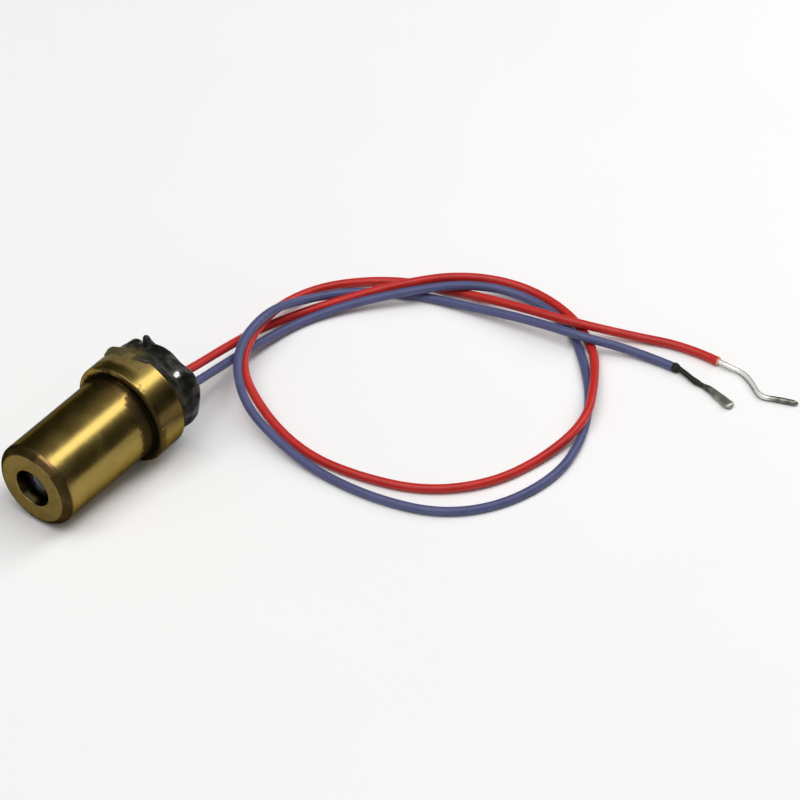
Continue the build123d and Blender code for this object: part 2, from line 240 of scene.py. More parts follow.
def rounded_loop(corners, steps=8, support=1.4):
    """Closed profile: each corner (radius, height, reach) becomes the parabola that leaves one side at its
    reach before the corner and joins the next at its reach past it, with a support point beyond each end."""
    corners = np.array(corners, dtype=float)
    points, reach = corners[:, None, :2], corners[:, None, 2:]
    to_last = unit(np.roll(points, 1, axis=0) - points)
    to_next = unit(np.roll(points, -1, axis=0) - points)
    share = np.linspace(0, 1, steps)[None, :, None]
    bend = points + reach * ((1 - share) ** 2 * to_last + share**2 * to_next)
    lead_in = points + support * reach * to_last
    lead_out = points + support * reach * to_next
    return np.concatenate([lead_in, bend, lead_out], axis=1).reshape(-1, 2)


def even_profile(points, count):
    """The same open profile with points at even distances along it."""
    lengths = np.concatenate([[0], np.cumsum(np.linalg.norm(np.diff(points, axis=0), axis=1))])
    places = np.linspace(0, lengths[-1], count)
    return np.stack([np.interp(places, lengths, points[:, axis]) for axis in (0, 1)], axis=1)


def smoothed(rows, rounds=3):
    """Each row becomes (last + 2 * row + next) / 4, a few times over; the first and last rows stay."""
    for _ in range(rounds):
        rows = np.concatenate([rows[:1], (rows[:-2] + 2 * rows[1:-1] + rows[2:]) / 4, rows[-1:]])
    return rows


def turned(profile, centre, axis, sides):
    """Rings of a turned surface: centre + height * axis + radius * (cos a * side + sin a * up)."""
    side = unit(np.cross(axis, (0.0, 0.0, 1.0)))
    up = np.cross(side, axis)
    angle = np.arange(sides) * TURN / sides
    spokes = np.cos(angle)[:, None] * side + np.sin(angle)[:, None] * up
    profile = np.asarray(profile)
    return centre + profile[:, None, 1:] * axis + profile[:, None, :1] * spokes


def swept(path, half_widths, half_heights, sides, squareness=1.0):
    """Rings along a path: path + half width * c * side + half height * s * up, where c and s are cos a and
    sin a with their size raised to the squareness: 1 is an ellipse, and less is nearer to a rectangle."""
    along = unit(np.gradient(path, axis=0))
    side = unit(np.cross(along, (0.0, 0.0, 1.0)))
    up = np.cross(side, along)
    angle = np.arange(sides) * TURN / sides
    squareness = np.broadcast_to(squareness, len(path))[:, None]
    across = np.sign(np.cos(angle)) * np.abs(np.cos(angle)) ** squareness * np.asarray(half_widths)[:, None]
    rise = np.sign(np.sin(angle)) * np.abs(np.sin(angle)) ** squareness * np.asarray(half_heights)[:, None]
    return path[:, None, :] + across[..., None] * side[:, None, :] + rise[..., None] * up[:, None, :]


def swollen(rings, middles, factor):
    """Rings whose points go to middle + factor * (point - middle)."""
    middles = middles[:, None, :]
    return middles + (rings - middles) * factor[..., None]


def ring_faces(rows, columns, loop):
    """Quads between neighbouring rings, with points numbered ring by ring; a loop's ends meet."""
    row = np.arange(rows if loop else rows - 1)[:, None] * columns
    next_row = (row + columns) % (rows * columns)
    column = np.arange(columns)[None, :]
    next_column = (column + 1) % columns
    quads = [row + column, row + next_column, next_row + next_column, next_row + column]
    return np.stack(quads, axis=-1).reshape(-1, 4)


def signed_volume(points, triangles):
    """Sum over the triangles of a . (b x c) / 6, which is positive where the faces point outwards."""
    first, second, third = (points[triangles[:, corner]] for corner in range(3))
    return np.einsum("ij,ij->i", first, np.cross(second, third)).sum() / 6


def make_piece(name, rings, material, loop=False):
    """Closed smooth mesh of rings of points (rows, columns, 3): quads between the rings, and either the last
    ring joined to the first or both end rings closed by triangles round their middles."""
    rows, columns = rings.shape[:2]
    points = rings.reshape(-1, 3)
    quads = ring_faces(rows, columns, loop)
    triangles = np.empty((0, 3), dtype=int)
    if not loop:
        column = np.arange(columns)
        next_column = (column + 1) % columns
        last = (rows - 1) * columns
        first_middle = np.full(columns, len(points))
        start_fan = np.stack([first_middle, next_column, column], axis=1)
        end_fan = np.stack([first_middle + 1, last + column, last + next_column], axis=1)
        triangles = np.concatenate([start_fan, end_fan])
        points = np.concatenate([points, rings[[0, -1]].mean(axis=1)])
    halves = np.concatenate([quads[:, [0, 1, 2]], quads[:, [0, 2, 3]], triangles])
    if signed_volume(points - points.mean(axis=0), halves) < 0:
        quads, triangles = quads[:, ::-1], triangles[:, ::-1]
    mesh = bpy.data.meshes.new(name)
    mesh.from_pydata((points * MM).tolist(), [], quads.tolist() + triangles.tolist())
    mesh.shade_smooth()
    mesh.materials.append(material)
    return place_piece(bpy.data.objects.new(name, mesh))


def place_piece(piece):
    """Puts a piece in the scene, on the one body."""
    bpy.context.scene.collection.objects.link(piece)
    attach(piece, "root")
    return piece


def route_curve(name, points, resolution=10):
    """Open quadratic NURBS curve that has the route's points as its control points."""
    curve = bpy.data.curves.new(name, "CURVE")
    curve.dimensions = "3D"
    curve.resolution_u = resolution
    spline = curve.splines.new("NURBS")
    spline.points.add(len(points) - 1)
    placed = np.column_stack([np.asarray(points) * MM, np.ones(len(points))])
    spline.points.foreach_set("co", placed.ravel())
    spline.order_u = 3
    spline.use_endpoint_u = True
    return curve


def spline_points(points):
    """Points read from the NURBS curve of a bare end's route."""
    holder = bpy.data.objects.new("route", route_curve("route", points, bare_resolution))
    mesh = bpy.data.meshes.new_from_object(holder)
    read = np.empty(len(mesh.vertices) * 3)
    mesh.vertices.foreach_get("co", read)
    bpy.data.objects.remove(holder)
    bpy.data.meshes.remove(mesh)
    return read.reshape(-1, 3) / MM


# Shader nodes

def add_node(tree, kind, inputs=(), **properties):
    """Adds a shader node, sets its properties, and gives each named socket a value or another's output."""
    made = tree.nodes.new("ShaderNode" + kind)
    for name, value in properties.items():
        setattr(made, name, value)
    for name, value in dict(inputs).items():
        if isinstance(value, bpy.types.NodeSocket):
            tree.links.new(value, made.inputs[name])
        else:
            made.inputs[name].default_value = value
    return made


def start_finish(name):
    """New material with one surface shader; returns the material, its node tree and the shader."""
    material = bpy.data.materials.new(name)
    material.use_nodes = True
    tree = material.node_tree
    return material, tree, tree.nodes["Principled BSDF"]


def set_shader(shader, **values):
    """Sets sockets of the surface shader that are the same all over, named with _ for a space."""
    for name, value in values.items():
        shader.inputs[name.replace("_", " ")].default_value = value


def link(tree, output, shader, socket):
    """Feeds an output to one of the shader's sockets."""
    tree.links.new(output, shader.inputs[socket])


def coordinates(tree, rotation=(0, 0, 0), origin=(0, 0, 0)):
    """Object coordinates in millimetres, turned, and counted from an origin that is given after turning."""
    place = add_node(tree, "TexCoord").outputs["Object"]
    settings = {"Vector": place, "Scale": (1 / MM,) * 3, "Rotation": rotation, "Location": origin}
    return add_node(tree, "Mapping", settings).outputs[0]


def calculate(tree, operation, first, *others):
    """One operation on a number or output and any others, which are taken in one after the other."""
    made = first
    for other in others or (0.0,):
        made = add_node(tree, "Math", {0: made, 1: other}, operation=operation).outputs[0]
    return made


def times(tree, *values):
    """Product of numbers or outputs."""
    return calculate(tree, "MULTIPLY", *values)


def root_of_squares(tree, first, second):
    """Root of the sum of two outputs' squares."""
    squares = calculate(tree, "ADD", times(tree, first, first), times(tree, second, second))
    return calculate(tree, "SQRT", squares)


def measure(tree, operation, first, second):
    """Number from two vectors: their DISTANCE or their DOT_PRODUCT."""
    return add_node(tree, "VectorMath", {0: first, 1: tuple(second)}, operation=operation).outputs["Value"]


def blend_range(tree, value, low, high, start=0.0, end=1.0):
    """Smooth change from start to end as a value goes from low to high."""
    settings = {"Value": value, "From Min": low, "From Max": high, "To Min": start, "To Max": end}
    return add_node(tree, "MapRange", settings, interpolation_type="SMOOTHSTEP").outputs[0]


def noise(tree, place, scale, detail=3.0, roughness=0.55):
    """Noise of so many bumps to the millimetre, from 0 to 1."""
    settings = {"Vector": place, "Scale": scale, "Detail": detail, "Roughness": roughness}
    return add_node(tree, "TexNoise", settings).outputs["Fac"]


def ramp(tree, value, tones, stops=(0.35, 0.65)):
    """Colours that blend from the tone at one stop to the tone at the next."""
    made = add_node(tree, "ValToRGB", {"Fac": value})
    elements = made.color_ramp.elements
    while len(elements) < len(stops):
        elements.new(0.5)
    for element, stop, tone in zip(elements, stops, tones):
        element.position = stop
        element.color = (*tone, 1.0)
    return made.outputs["Color"]


def mix(tree, share, first, second):
    """Colour between two colours or outputs; the node's sockets for colours are its numbers 6 and 7."""
    made = add_node(tree, "Mix", data_type="RGBA")
    for socket, value in zip((made.inputs[0], made.inputs[6], made.inputs[7]), (share, first, second)):
        if isinstance(value, bpy.types.NodeSocket):
            tree.links.new(value, socket)
        else:
            socket.default_value = (*value, 1.0)
    return made.outputs[2]


def bump(tree, shader, height, depth):
    """Relief of a depth in millimetres."""
    relief = add_node(tree, "Bump", {"Height": height, "Distance": depth * MM, "Strength": 1.0})
    link(tree, relief.outputs[0], shader, "Normal")


# Finishes

# Tones of the brass, of what lies on it and of the shade painted on it, each group in the order of its ramp
brass_tones = ((0.28, 0.2, 0.055), (0.33, 0.237, 0.068), (0.305, 0.205, 0.06))
# Front face: darker than the rest of the brass, as painted shade
shaded_face_tones = ((0.205, 0.15, 0.047), (0.25, 0.183, 0.06), (0.265, 0.16, 0.052))
film_tones = ((0.1, 0.075, 0.028), (0.19, 0.14, 0.046), (0.25, 0.15, 0.055))
# Bore: painted shade that deepens into the bore, and a painted lit patch on its lower wall
bore_shade_tones = ((0.012, 0.011, 0.008), (0.2, 0.155, 0.07))
bore_lit_patch_tone = (0.14, 0.125, 0.065)
tarnish_tone = (0.26, 0.1, 0.035)
# Painted dark reflection on the collar's side, below its highlight
collar_shade_tone = (0.075, 0.052, 0.021)
# Reddish tarnish, lighter than the brass, where the highlight crosses the nose: partly painted highlight
nose_tarnish_highlight_tone = (0.3, 0.165, 0.075)
# Painted shade at the nose chamfer, the step and the collar's front edge, darkest in the step's corner
painted_shade_tone = (0.045, 0.029, 0.012)
corner_shade_tone = (0.018, 0.013, 0.008)
brass_edge_tint = (0.22, 0.24, 0.31, 1.0)

# Tones of the epoxy
epoxy_tones = ((0.003, 0.0035, 0.0025), (0.008, 0.009, 0.007))
thin_epoxy_tone = (0.03, 0.026, 0.013)
bloom_tone = (0.036, 0.034, 0.026)
smear_tone = (0.075, 0.062, 0.024)
# Painted highlight along a ridge behind the collar
ridge_highlight_tone = (0.05, 0.044, 0.03)

# Tones of the leads and their bare ends
red_tones = ((0.45, 0.016, 0.012), (0.54, 0.022, 0.016))
cut_red_tone = (0.85, 0.4, 0.22)
blue_tones = ((0.066, 0.074, 0.172), (0.08, 0.088, 0.2))
bright_tin_tones = ((0.55, 0.5, 0.4), (0.92, 0.91, 0.88))
bright_tip_tones = ((0.12, 0.12, 0.105), (0.22, 0.22, 0.19))
# Painted dark reflection on the flanks of the tinned wire
painted_flank_shade_tone = (0.115, 0.11, 0.095)
tin_edge_tint = (0.3, 0.29, 0.26, 1.0)
dull_tin_tones = ((0.15, 0.155, 0.125), (0.32, 0.33, 0.275))
scorched_tin_tone = (0.028, 0.03, 0.02)

# Marks on one side of the module: angle round the beam, cosines to it between which they come in, strength.
# Most brass marks set where painted shade lies, widens or lifts; the bore's is painted light
brass_marks = {
    # Collar: painted dark reflection on its side
    "collar_painted_shade": (22, 0.88, 0.99, 0.65),
    # Nose: reddish tarnish and painted highlight where the highlight crosses it, with less painted shade
    # there
    "nose_tarnish_and_highlight": (64, 0.94, 0.99, 1.0),
    # Step: where the painted shade round the step is narrower or wider
    "step_shade_narrower_left": (142, 0.8, 0.96, 0.4),
    "step_shade_narrower_top": (80, 0.955, 0.99, 0.45),
    "step_shade_wider_upper_right": (38, 0.88, 0.99, 0.5),
    "step_shade_wider_upper_left": (112, 0.9, 0.985, 0.6),
    "step_shade_wider_low_side": (-12, 0.62, 0.85, 0.5),
    # Shoulder: painted shade on the collar's front edge
    "shoulder_shade_right": (10, 0.05, 0.35, 1.0),
    # Bore: painted light on its lower wall
    "bore_lit_patch": (-112, 0.9, 0.99, 1.0),
    "film": (118, 0.55, 0.85, 1.0),
}
# The ridge mark is a painted highlight; the smear is an olive film of epoxy
epoxy_marks = {"smear": (116, 0.8, 0.95, 1.0), "ridge_highlight": (44, 0.75, 0.95, 1.0)}

# Mottled finishes: two tones, clouds to the millimetre, least and most roughness, and depth of relief
mottled_finishes = {
    # Lens tones are dark blue, darker than clear acrylic: painted shade that stands for the dark inside seen
    # through it
    "lens_acrylic": ((0.13, 0.16, 0.24), (0.17, 0.2, 0.29), 0.8, 0.03, 0.07, 0.001),
    "spacer_plastic": ((0.018, 0.018, 0.018), (0.03, 0.03, 0.03), 1.5, 0.5, 0.65, 0.01),
    "gold_plate": ((0.76, 0.56, 0.25), (0.85, 0.66, 0.33), 1.2, 0.2, 0.32, 0.003),
    "can_metal": ((0.55, 0.55, 0.53), (0.66, 0.66, 0.64), 1.1, 0.25, 0.36, 0.004),
    "window_glass": ((0.85, 0.9, 0.92), (0.9, 0.94, 0.95), 0.9, 0.02, 0.06, 0.001),
    "submount_ceramic": ((0.7, 0.69, 0.64), (0.8, 0.79, 0.74), 4.0, 0.55, 0.7, 0.004),
    "semiconductor": ((0.06, 0.06, 0.075), (0.11, 0.11, 0.13), 5.0, 0.12, 0.25, 0.001),
    "seal_glass": ((0.12, 0.17, 0.15), (0.2, 0.26, 0.24), 2.5, 0.08, 0.2, 0.004),
    "board_laminate": ((0.035, 0.19, 0.08), (0.06, 0.27, 0.12), 2.0, 0.35, 0.5, 0.006),
    "resistor_ceramic": ((0.03, 0.03, 0.035), (0.07, 0.07, 0.08), 4.0, 0.4, 0.6, 0.004),
    "capacitor_ceramic": ((0.4, 0.28, 0.17), (0.5, 0.37, 0.24), 4.0, 0.45, 0.65, 0.004),
    "solder_tin": ((0.6, 0.6, 0.61), (0.74, 0.74, 0.75), 3.0, 0.2, 0.4, 0.01),
    "transistor_moulding": ((0.02, 0.02, 0.022), (0.04, 0.04, 0.045), 4.0, 0.5, 0.7, 0.006),
    "red_insulation": (*red_tones, 0.6, 0.34, 0.46, 0.006),
    "blue_insulation": (*blue_tones, 0.6, 0.36, 0.5, 0.006),
    "scorched_insulation": ((0.008, 0.009, 0.006), (0.024, 0.026, 0.02), 4.0, 0.5, 0.7, 0.03),
    "pale_floor": ((0.85, 0.85, 0.85), (0.87, 0.87, 0.87), 0.02, 0.8, 0.9, 0.001),
}
# Their sockets that are the same all over
mottled_constants = {
    "lens_acrylic": {"Transmission_Weight": 0.9, "IOR": 1.49, "Specular_IOR_Level": 0.18},
    "gold_plate": {"Metallic": 1.0},
    "can_metal": {"Metallic": 1.0},
    "window_glass": {"Transmission_Weight": 0.95, "IOR": 1.5},
    "solder_tin": {"Metallic": 1.0},
    "red_insulation": {"Specular_IOR_Level": 0.35},
    "blue_insulation": {"Specular_IOR_Level": 0.35},
    "scorched_insulation": {"Specular_IOR_Level": 0.15},
}


def module_coordinates(tree):
    """Object coordinates turned to the module: the place, its two parts across the beam, its height from the
    collar's rear face and its reach, the root of x^2 + z^2."""
    turned_rear = (0.0, -np.dot(rear_centre, (0, cos(tilt), sin(tilt))), -np.dot(rear_centre, upwards))
    place = coordinates(tree, rotation=(-tilt, 0, 0), origin=turned_rear)
    split = add_node(tree, "SeparateXYZ", {0: place}).outputs
    height = times(tree, split["Y"], -1.0)
    return place, split["X"], split["Z"], height, root_of_squares(tree, split["X"], split["Z"])


def side_marks(tree, across, up, reach, table):
    """Shares of a table's marks, each from 0 to its strength by the cosine of the angle to its side."""
    marks = {}
    for name, (angle, low, high, strength) in table.items():
        lean = radians(angle)
        facing = calculate(tree, "ADD", times(tree, across, cos(lean)), times(tree, up, sin(lean)))
        marks[name] = blend_range(tree, calculate(tree, "DIVIDE", facing, reach), low, high, 0.0, strength)
    return marks


def turned_brass():
    """Satin brass with fine turning rings, reddish tarnish near the step and at the nose, and a dull olive
    film that thins out from the collar's rear rim. Painted shade darkens the nose chamfer, the step, the
    collar's front edge, the front face and the bore; a painted dark reflection lies on the collar's side and
    a painted lit patch on the bore's lower wall."""
    material, tree, shader = start_finish("turned_brass")
    place, across, up, height, reach = module_coordinates(tree)
    marks = side_marks(tree, across, up, reach, brass_marks)
    face = housing_length
    cloud = noise(tree, place, 0.55)
    speckle = noise(tree, place, 4.5, detail=5.0)
    ragged = times(tree, calculate(tree, "SUBTRACT", noise(tree, place, 1.1), 0.5), 0.7)
    frayed = times(tree, calculate(tree, "SUBTRACT", speckle, 0.5), 0.9)
    colour = ramp(tree, cloud, brass_tones, (0.3, 0.55, 0.75))
    # Front face darker than the barrel: painted shade
    front_face = blend_range(tree, height, face - 0.12, face - 0.02)
    shaded_face_tone = ramp(tree, noise(tree, place, 1.3, detail=5.0), shaded_face_tones, (0.35, 0.55, 0.72))
    colour = mix(tree, front_face, colour, shaded_face_tone)

    from_step = root_of_squares(tree, calculate(tree, "SUBTRACT", height, collar_length),
                                calculate(tree, "SUBTRACT", reach, barrel_radius))
    on_barrel = blend_range(tree, reach, barrel_radius + 0.05, barrel_radius + 0.2, 1.0, 0.0)
    near_step = times(tree, on_barrel, blend_range(tree, from_step, 0.5, 1.5, 1.0, 0.0))
    tarnish = times(tree, near_step, blend_range(tree, speckle, 0.48, 0.64, 0.0, 0.6))
    colour = mix(tree, tarnish, colour, tarnish_tone)
    on_collar = blend_range(tree, reach, collar_radius - 0.3, collar_radius - 0.1)
    # Painted dark reflection on the collar's side
    colour = mix(tree, times(tree, on_collar, marks["collar_painted_shade"]), colour, collar_shade_tone)

    # Painted shade on the nose chamfer, lifted and reddened where the highlight crosses it
    chamfer_start, chamfer_edge = face - nose_chamfer, barrel_radius - nose_chamfer
    chamfer = times(tree, blend_range(tree, height, chamfer_start - 0.3, chamfer_start - 0.05),
                    blend_range(tree, reach, chamfer_edge - 0.15, chamfer_edge + 0.02))
    colour = mix(tree, times(tree, chamfer, marks["nose_tarnish_and_highlight"], 0.7), colour, nose_tarnish_highlight_tone)
    chamfer = times(tree, chamfer, blend_range(tree, marks["nose_tarnish_and_highlight"], 0.0, 1.0, 1.0, 0.5))

    # Painted shade round the step, wider or narrower on some sides, with a ragged edge
    widest = calculate(tree, "MAXIMUM", marks["step_shade_wider_upper_right"], marks["step_shade_wider_upper_left"], marks["step_shade_wider_low_side"])
    narrowed = calculate(tree, "MAXIMUM", marks["step_shade_narrower_left"], marks["step_shade_narrower_top"])
    step_width = calculate(tree, "SUBTRACT", narrowed, times(tree, on_barrel, widest))
    step_place = calculate(tree, "ADD", from_step, ragged, frayed, step_width)
    step = blend_range(tree, step_place, 0.4, 0.85, 1.0, 0.0)
    off_barrel = calculate(tree, "SUBTRACT", 1.0, on_barrel)
    # Painted shade on the collar's front edge
    shoulder_edge = blend_range(tree, height, collar_length - 0.25, collar_length - 0.1)
    dark_shoulder = times(tree, off_barrel, shoulder_edge, marks["shoulder_shade_right"])
    edges = calculate(tree, "MAXIMUM", chamfer, step, dark_shoulder)
    # All the painted shade, which is also made rougher below
    painted_shade = times(tree, edges, blend_range(tree, ragged, -0.14, 0.07, 0.86, 0.96))
    colour = mix(tree, painted_shade, colour, painted_shade_tone)
    # Darker painted shade in the step's corner
    corner = times(tree, blend_range(tree, from_step, 0.12, 0.5, 0.9, 0.0),
                   blend_range(tree, marks["step_shade_narrower_top"], 0.0, 0.45, 1.0, 0.4))
    colour = mix(tree, corner, colour, corner_shade_tone)

    # Painted shade inside the aperture, deeper further in, and a painted lit patch on its lower wall
    in_bore = blend_range(tree, reach, aperture_radius - 0.01, aperture_radius + 0.03, 1.0, 0.0)
    behind_face = blend_range(tree, height, face - 0.14, face - 0.02, 1.0, 0.0)
    aperture = times(tree, in_bore, behind_face)
    near_face = blend_range(tree, height, face - 0.7, face - 0.1)
    colour = mix(tree, aperture, colour, mix(tree, near_face, *bore_shade_tones))
    ragged_height = calculate(tree, "ADD", height, ragged)
    patch_band = blend_range(tree, ragged_height, face - 0.75, face - 0.35)
    bore_lit_patch = times(tree, aperture, marks["bore_lit_patch"], patch_band)
    colour = mix(tree, bore_lit_patch, colour, bore_lit_patch_tone)

    film = times(tree, marks["film"], blend_range(tree, ragged_height, 0.85, 1.75, 1.0, 0.0))
    colour = mix(tree, film, colour, ramp(tree, speckle, film_tones, (0.3, 0.5, 0.7)))
    link(tree, colour, shader, "Base Color")
    metallic = calculate(tree, "SUBTRACT", blend_range(tree, film, 0.0, 1.0, 1.0, 0.35), bore_lit_patch)
    link(tree, metallic, shader, "Metallic")
    satin = blend_range(tree, calculate(tree, "ADD", cloud, film), 0.3, 1.4, 0.24, 0.5)
    link(tree, calculate(tree, "MAXIMUM", satin, times(tree, painted_shade, 0.55)), shader, "Roughness")
    ring_place = calculate(tree, "ADD", height, reach)
    rings = add_node(tree, "TexNoise", {"W": ring_place, "Scale": 7.0, "Detail": 4.0}, noise_dimensions="1D")
    bump(tree, shader, rings.outputs["Fac"], 0.0015)
    set_shader(shader, Specular_Tint=brass_edge_tint)
    return material


def black_epoxy():
    """Black epoxy of uneven gloss, with a dull band and a painted highlight along a ridge behind the collar,
    an olive tint where it is thin on the rim, an olive smear on the upper left and one wet spot that shines."""
    material, tree, shader = start_finish("black_epoxy")
    place, across, up, height, reach = module_coordinates(tree)
    marks = side_marks(tree, across, up, reach, epoxy_marks)
    cloud = noise(tree, place, 1.1)
    patches = noise(tree, place, 2.4)
    colour = ramp(tree, cloud, epoxy_tones)
    thin = times(tree, blend_range(tree, height, -0.35, 0.05),
                 blend_range(tree, patches, 0.35, 0.65, 0.3, 1.0))
    colour = mix(tree, thin, colour, thin_epoxy_tone)
    bloom = blend_range(tree, noise(tree, place, 1.6, detail=1.5), 0.5, 0.68, 0.0, 0.75)
    colour = mix(tree, bloom, colour, bloom_tone)
    smear_place = calculate(tree, "ADD", height, times(tree, patches, 0.8))
    smear = times(tree, marks["smear"], blend_range(tree, smear_place, -0.45, 0.1))
    colour = mix(tree, smear, colour, smear_tone)
    # Painted highlight along a ridge behind the collar
    ridge_highlight_band = times(tree, blend_range(tree, height, -0.66, -0.5),
                       blend_range(tree, height, -0.46, -0.3, 1.0, 0.0))
    ridge_highlight = times(tree, marks["ridge_highlight"], blend_range(tree, patches, 0.35, 0.6, 0.2, 1.0), ridge_highlight_band)
    colour = mix(tree, ridge_highlight, colour, ridge_highlight_tone)
    link(tree, colour, shader, "Base Color")

    spot_lean = radians(wet_spot_angle)
    spot = (potting_radius * cos(spot_lean), -wet_spot_height, potting_radius * sin(spot_lean))
    from_spot = measure(tree, "DISTANCE", place, spot)
    ragged = times(tree, noise(tree, place, 3.0), 0.5)
    wet = blend_range(tree, calculate(tree, "ADD", from_spot, ragged), 0.33, 0.58, 1.0, 0.0)
    dull_band = times(tree, blend_range(tree, height, -1.05, -0.75),
                      blend_range(tree, height, -0.2, 0.0, 1.0, 0.0))
    dull = calculate(tree, "ADD", cloud, calculate(tree, "MAXIMUM", thin, dull_band))
    rough_underside = blend_range(tree, up, -2.0, 0.4, 0.35, 0.0)
    rough = calculate(tree, "ADD", blend_range(tree, dull, 0.3, 1.2, 0.2, 0.55), rough_underside)
    rough = times(tree, rough, blend_range(tree, wet, 0.0, 1.0, 1.0, 0.3))
    link(tree, rough, shader, "Roughness")
    gloss = times(tree, blend_range(tree, noise(tree, place, 1.7), 0.35, 0.65, 0.015, 0.06),
                  blend_range(tree, up, -2.0, 0.4, 0.1, 1.0))
    link(tree, calculate(tree, "MAXIMUM", gloss, wet), shader, "Specular IOR Level")
    bump(tree, shader, noise(tree, place, 4.0), 0.003)
    set_shader(shader, IOR=2.4, Specular_IOR_Level=0.05)
    return material


def mottled(name, low, high, scale, smooth, rough, depth, **constants):
    """Finish with two close tones in a cloudy pattern, roughness in finer clouds and a fine relief."""
    material, tree, shader = start_finish(name)
    place = coordinates(tree)
    gloss_scale, relief_scale = 2.7 * scale, 4 * scale
    link(tree, ramp(tree, noise(tree, place, scale), (low, high)), shader, "Base Color")
    roughness = blend_range(tree, noise(tree, place, gloss_scale), 0.3, 0.7, smooth, rough)
    link(tree, roughness, shader, "Roughness")
    bump(tree, shader, noise(tree, place, relief_scale), depth)
    set_shader(shader, **constants)
    return material


def along_axis(tree, place, start, axis):
    """Distance of a place past a start, along an axis."""
    return calculate(tree, "SUBTRACT", measure(tree, "DOT_PRODUCT", place, axis), float(np.dot(start, axis)))


def red_lip_finish(end, axis):
    """Red insulation that turns to a pale orange where it was cut."""
    material, tree, shader = start_finish("cut_red_insulation")
    place = coordinates(tree)
    cut = blend_range(tree, along_axis(tree, place, end, axis), 0.05, 0.12)
    colour = ramp(tree, noise(tree, place, 3.0), red_tones)
    link(tree, mix(tree, cut, colour, cut_red_tone), shader, "Base Color")
    link(tree, blend_range(tree, noise(tree, place, 9.0), 0.3, 0.7, 0.35, 0.5), shader, "Roughness")
    bump(tree, shader, noise(tree, place, 12.0), 0.006)
    set_shader(shader, Specular_IOR_Level=0.35)
    return material


def bright_tin(tip):
    """Tinned strands, nearly white near the insulation and grey towards the tip, with a painted sheen on the
    side that faces one fixed direction and on the side opposite it, and painted dark reflections on the
    flanks between."""
    material, tree, shader = start_finish("bright_tinned_copper")
    place = coordinates(tree)
    cloud = noise(tree, place, 0.9)
    colour = ramp(tree, cloud, bright_tin_tones, (0.3, 0.45))
    from_tip = measure(tree, "DISTANCE", place, tip)
    dull = blend_range(tree, calculate(tree, "ADD", from_tip, cloud), 1.9, 3.0, 1.0, 0.0)
    grey = ramp(tree, noise(tree, place, 3.0), bright_tip_tones)
    colour = mix(tree, dull, colour, grey)
    # Painted sheen on the side facing a fixed direction and its opposite, painted dark reflections on the
    # flanks
    normal = add_node(tree, "TexCoord").outputs["Normal"]
    side = calculate(tree, "ABSOLUTE", measure(tree, "DOT_PRODUCT", normal, painted_sheen_side))
    painted_flank_shade = blend_range(tree, side, 0.34, 0.68, 1.0, 0.0)
    link(tree, mix(tree, painted_flank_shade, colour, painted_flank_shade_tone), shader, "Base Color")
    link(tree, blend_range(tree, dull, 0.0, 1.0, 0.4, 0.9), shader, "Metallic")
    link(tree, blend_range(tree, dull, 0.0, 1.0, 0.3, 0.36), shader, "Roughness")
    bump(tree, shader, noise(tree, place, 5.0), 0.006)
    set_shader(shader, Specular_Tint=tin_edge_tint)
    return material


def dull_tin(start, axis):
    """Tinned strands that are scorched black near the insulation and grey at the flattened tip."""
    material, tree, shader = start_finish("dull_tinned_copper")
    place = coordinates(tree)
    patches = times(tree, noise(tree, place, 2.2), 1.6)
    clean = blend_range(tree, calculate(tree, "ADD", along_axis(tree, place, start, axis), patches), 3.2, 4.8)
    grey = ramp(tree, noise(tree, place, 1.8), dull_tin_tones)
    link(tree, mix(tree, clean, scorched_tin_tone, grey), shader, "Base Color")
    link(tree, blend_range(tree, clean, 0.0, 1.0, 0.62, 0.34), shader, "Roughness")
    bump(tree, shader, noise(tree, place, 7.0), 0.02)
    set_shader(shader, Metallic=0.75)
    return material


finishes = {name: mottled(name, *values, **mottled_constants.get(name, {}))
            for name, values in mottled_finishes.items()}
finishes.update(turned_brass=turned_brass(), black_epoxy=black_epoxy())


# Pieces

def housing():
    """Turned brass: the section's corners, each broken by a small rounding, carried round the beam."""
    lens_seat = housing_length - front_wall
    edge, soft_edge, nose_edge = 0.05, 0.08, 0.19
    profile = rounded_loop([
        (stem_bore_radius, 0, edge),
        (collar_radius - collar_chamfer, 0, edge),
        (collar_radius, collar_chamfer, soft_edge),
        (collar_radius, collar_length - collar_chamfer, soft_edge),
        (collar_radius - collar_chamfer, collar_length, edge),
        (barrel_radius, collar_length, edge),
        (barrel_radius, housing_length - nose_chamfer, nose_edge),
        (barrel_radius - nose_chamfer, housing_length, nose_edge),
        (aperture_radius, housing_length, soft_edge),
        (aperture_radius, lens_seat, edge),
        (bore_radius, lens_seat, edge),
        (bore_radius, stem_bore_depth, edge),
        (stem_bore_radius, stem_bore_depth, edge),
    ])
    rings = turned(profile, rear_centre, beam, sides=192)
    piece = make_piece("turned_housing", rings, finishes["turned_brass"], loop=True)
    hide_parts("housing")


def lens():
    """Lens turned from its section: a flat rear, a rim on the front wall, and a dome that rises by a sphere's
    height over its edge, sqrt(R^2 - r^2) less the same at the edge."""
    lens_seat = housing_length - front_wall
    lens_rear = lens_seat - lens_thickness
    middle_ring = 0.01
    curvature = (lens_dome_radius**2 + lens_dome_rise**2) / (2 * lens_dome_rise)
    radius = np.linspace(lens_dome_radius, middle_ring, 24)
    rise = np.sqrt(curvature**2 - radius**2) - (curvature - lens_dome_rise)
    rim = np.array([
        (middle_ring, lens_rear),
        (lens_radius - lens_edge, lens_rear),
        (lens_radius, lens_rear + lens_edge),
        (lens_radius, lens_seat - lens_edge),
        (lens_radius - lens_edge, lens_seat),
        (lens_dome_radius + lens_dome_gap, lens_seat),
    ])
    dome = np.column_stack([radius, lens_seat + rise])
    rings = turned(np.concatenate([rim, dome]), rear_centre, beam, sides=96)
    piece = make_piece("moulded_lens", rings, finishes["lens_acrylic"])
    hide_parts("collimating_lens")


